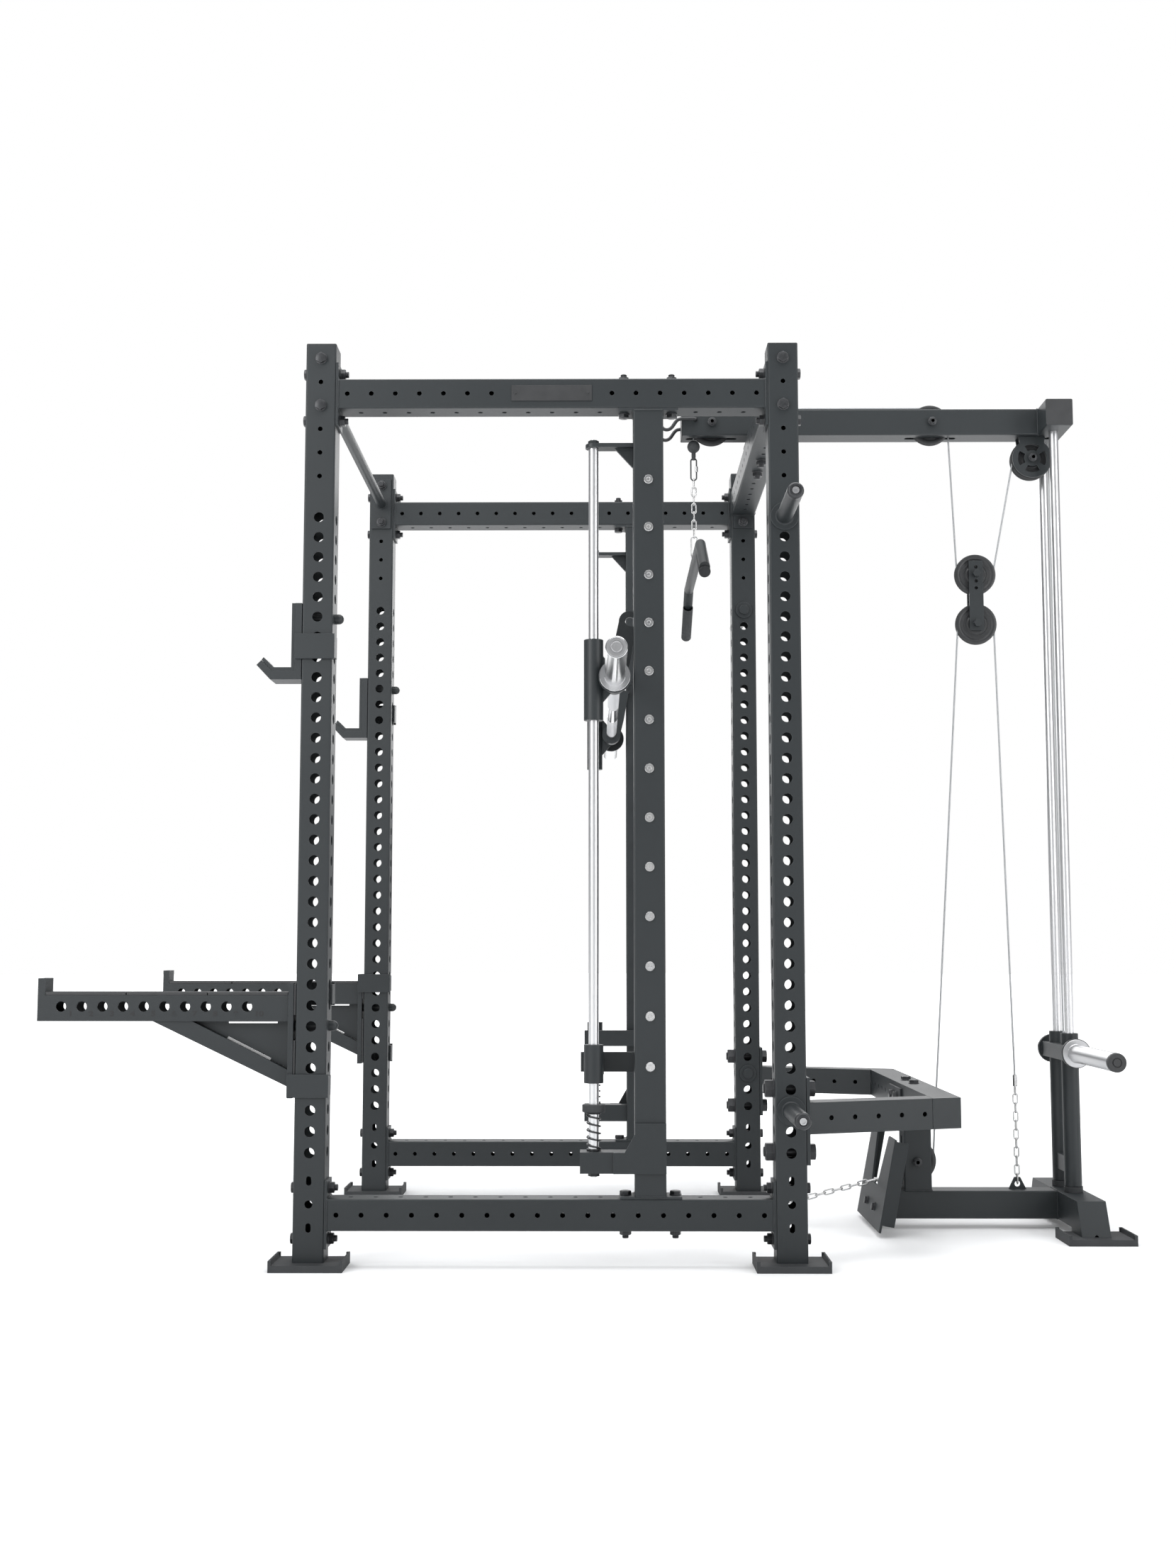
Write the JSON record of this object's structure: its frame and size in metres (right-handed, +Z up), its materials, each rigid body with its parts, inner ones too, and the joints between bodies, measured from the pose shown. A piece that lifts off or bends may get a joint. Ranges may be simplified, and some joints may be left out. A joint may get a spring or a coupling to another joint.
{
  "type": "power cage",
  "caption": "Steel power cage with a guided barbell, hanging bar hooks, spotter arms, plate storage pegs and a plate-loaded pulldown and row cable tower on a braced base.",
  "frame": {"origin": "middle of the machine's footprint, on the floor", "axes": "+X from the cage's open front to the cable tower, +Y across the cage to the user's left when facing the tower, +Z up"},
  "size_m": [2.736, 2.104, 2.305],
  "materials": {
    "powder_coat": "fine textured anthracite powder coat, satin",
    "black_plastic": "fine grained, matt",
    "rubber": "moulded, matt",
    "pulley_nylon": "turned nylon, satin",
    "black_steel": "black oxide, satin",
    "chrome": "polished hard chrome",
    "zinc": "bright zinc plate"
  },
  "bodies": {
    "frame": {"upright_front_right": "powder_coat", "upright_front_left": "powder_coat", "upright_rear_right": "powder_coat", "upright_rear_left": "powder_coat", "tube_caps": "black_plastic", "rubber_feet": "rubber", "top_beams": "powder_coat", "bottom_beams": "powder_coat", "pull_up_bar": "powder_coat", "rear_cross_beam": "powder_coat", "frame_bolts": "black_steel", "frame_nuts": "black_steel", "name_plate": "black_plastic", "smith_posts": "powder_coat", "smith_pegs": "zinc", "smith_rails": "chrome", "rail_brackets": "powder_coat", "rail_bases": "powder_coat", "plate_pegs": "powder_coat", "link_beams": "powder_coat", "link_cross_beam": "powder_coat", "tower_top_beam": "powder_coat", "tower_post": "powder_coat", "tower_base_beam": "powder_coat", "tower_foot": "powder_coat", "guide_rods": "chrome", "foot_plate": "powder_coat", "pulley_bracket": "powder_coat", "pulley_axles": "black_steel", "cable_guards": "black_steel", "anchor_chain": "zinc", "bumper_springs": "black_steel", "lat_cable": "zinc", "row_cable": "zinc"},
    "smith_carriage": {"smith_slides": "powder_coat"},
    "smith_bar": {"smith_bar": "chrome", "smith_hooks": "powder_coat"},
    "bar_sleeve_right": {"bar_sleeve_right": "chrome"},
    "bar_sleeve_left": {"bar_sleeve_left": "chrome"},
    "safety_stop_right": {"safety_stop_right": "powder_coat"},
    "safety_stop_left": {"safety_stop_left": "powder_coat"},
    "rail_bumpers": {"bumper_collars": "rubber"},
    "j_cup_right": {"j_cup_right": "powder_coat"},
    "j_cup_left": {"j_cup_left": "powder_coat"},
    "spotter_arm_right": {"spotter_arm_right": "powder_coat", "arm_pad_right": "black_plastic"},
    "spotter_arm_left": {"spotter_arm_left": "powder_coat", "arm_pad_left": "black_plastic"},
    "weight_carriage": {"weight_carriage": "powder_coat", "weight_horns": "chrome"},
    "lat_line": {"lat_chain": "zinc"},
    "lat_bar": {"lat_bar": "powder_coat"},
    "pulley_block": {"pulley_block": "powder_coat"},
    "row_line": {"row_chain": "zinc"},
    "pulley_front": {"pulley_front": "pulley_nylon"},
    "pulley_mid": {"pulley_mid": "pulley_nylon"},
    "pulley_rear": {"pulley_rear": "pulley_nylon"},
    "pulley_low": {"pulley_low": "pulley_nylon"},
    "block_pulley_upper": {"block_pulley_upper": "pulley_nylon"},
    "block_pulley_lower": {"block_pulley_lower": "pulley_nylon"}
  },
  "joints": [
    {"name": "smith_slide", "type": "slide", "parent": "frame", "child": "smith_carriage", "axis": [0, 0, 1], "range_m": [-0.72, 0.36]},
    {"name": "smith_bar_turn", "type": "hinge", "parent": "smith_carriage", "child": "smith_bar", "pos_m": [0.028, 0, 1.422], "axis": [0, 1, 0], "range_deg": [-20, 18]},
    {"name": "sleeve_spin_right", "type": "hinge", "parent": "smith_bar", "child": "bar_sleeve_right", "pos_m": [0.028, -0.84, 1.422], "axis": [0, 1, 0], "continuous": true},
    {"name": "sleeve_spin_left", "type": "hinge", "parent": "smith_bar", "child": "bar_sleeve_left", "pos_m": [0.028, 0.84, 1.422], "axis": [0, 1, 0], "continuous": true},
    {"name": "stop_slide_right", "type": "slide", "parent": "frame", "child": "safety_stop_right", "axis": [0, 0, 1], "range_m": [0, 0.72]},
    {"name": "stop_slide_left", "type": "slide", "parent": "frame", "child": "safety_stop_left", "axis": [0, 0, 1], "range_m": [0, 0.72]},
    {"name": "bumper_squash", "type": "slide", "parent": "frame", "child": "rail_bumpers", "axis": [0, 0, 1], "range_m": [-0.05, 0], "stiffness_N_per_m": 9000, "deforming": ["bumper_springs"]},
    {"name": "j_cup_swing_right", "type": "hinge", "parent": "frame", "child": "j_cup_right", "pos_m": [-0.704, -0.5895, 1.573], "axis": [-1, 0, 0], "range_deg": [0, 90]},
    {"name": "j_cup_swing_left", "type": "hinge", "parent": "frame", "child": "j_cup_left", "pos_m": [-0.704, 0.5895, 1.573], "axis": [1, 0, 0], "range_deg": [0, 90]},
    {"name": "arm_swing_right", "type": "hinge", "parent": "frame", "child": "spotter_arm_right", "pos_m": [-0.704, -0.5895, 0.573], "axis": [-1, 0, 0], "range_deg": [0, 90]},
    {"name": "arm_swing_left", "type": "hinge", "parent": "frame", "child": "spotter_arm_left", "pos_m": [-0.704, 0.5895, 0.573], "axis": [1, 0, 0], "range_deg": [0, 90]},
    {"name": "weight_slide", "type": "slide", "parent": "frame", "child": "weight_carriage", "axis": [0, 0, 1], "range_m": [0, 1.2], "deforming": ["lat_cable"]},
    {"name": "lat_pull", "type": "slide", "parent": "frame", "child": "lat_line", "axis": [0, 0, 1], "range_m": [-1.2, 0]},
    {"name": "lat_bar_swivel", "type": "hinge", "parent": "lat_line", "child": "lat_bar", "pos_m": [0.2604, 0, 1.9], "axis": [0, 0, 1], "range_deg": [-40, 40]},
    {"name": "block_slide", "type": "slide", "parent": "frame", "child": "pulley_block", "axis": [0, 0, 1], "range_m": [-0.5, 0], "deforming": ["row_cable"]},
    {"name": "row_pull", "type": "slide", "parent": "frame", "child": "row_line", "axis": [-1, 0, 0], "range_m": [0, 1]},
    {"name": "pulley_front_spin", "type": "hinge", "parent": "frame", "child": "pulley_front", "pos_m": [0.311, 0, 2.2475], "axis": [0, 1, 0], "continuous": true},
    {"name": "pulley_mid_spin", "type": "hinge", "parent": "frame", "child": "pulley_mid", "pos_m": [0.936, 0, 2.2475], "axis": [0, 1, 0], "continuous": true},
    {"name": "pulley_rear_spin", "type": "hinge", "parent": "frame", "child": "pulley_rear", "pos_m": [1.2224, 0, 2.147], "axis": [0, 1, 0], "continuous": true},
    {"name": "pulley_low_spin", "type": "hinge", "parent": "frame", "child": "pulley_low", "pos_m": [0.856, 0, 0.179], "axis": [0, 1, 0], "continuous": true},
    {"name": "block_upper_spin", "type": "hinge", "parent": "pulley_block", "child": "block_pulley_upper", "pos_m": [1.056, 0, 1.813], "axis": [0, 1, 0], "continuous": true},
    {"name": "block_lower_spin", "type": "hinge", "parent": "pulley_block", "child": "block_pulley_lower", "pos_m": [1.056, 0, 1.671], "axis": [0, 1, 0], "continuous": true}
  ],
  "couplings": [
    {"joint": "lat_pull", "follows": "weight_slide", "ratio": -1},
    {"joint": "pulley_front_spin", "follows": "weight_slide", "rad_per_m": -19.763},
    {"joint": "pulley_mid_spin", "follows": "weight_slide", "rad_per_m": -19.763},
    {"joint": "pulley_rear_spin", "follows": "weight_slide", "rad_per_m": -19.763},
    {"joint": "block_upper_spin", "follows": "weight_slide", "rad_per_m": 19.763},
    {"joint": "row_pull", "follows": "block_slide", "ratio": -2},
    {"joint": "pulley_low_spin", "follows": "block_slide", "rad_per_m": -39.526},
    {"joint": "block_lower_spin", "follows": "block_slide", "rad_per_m": 19.763}
  ]
}
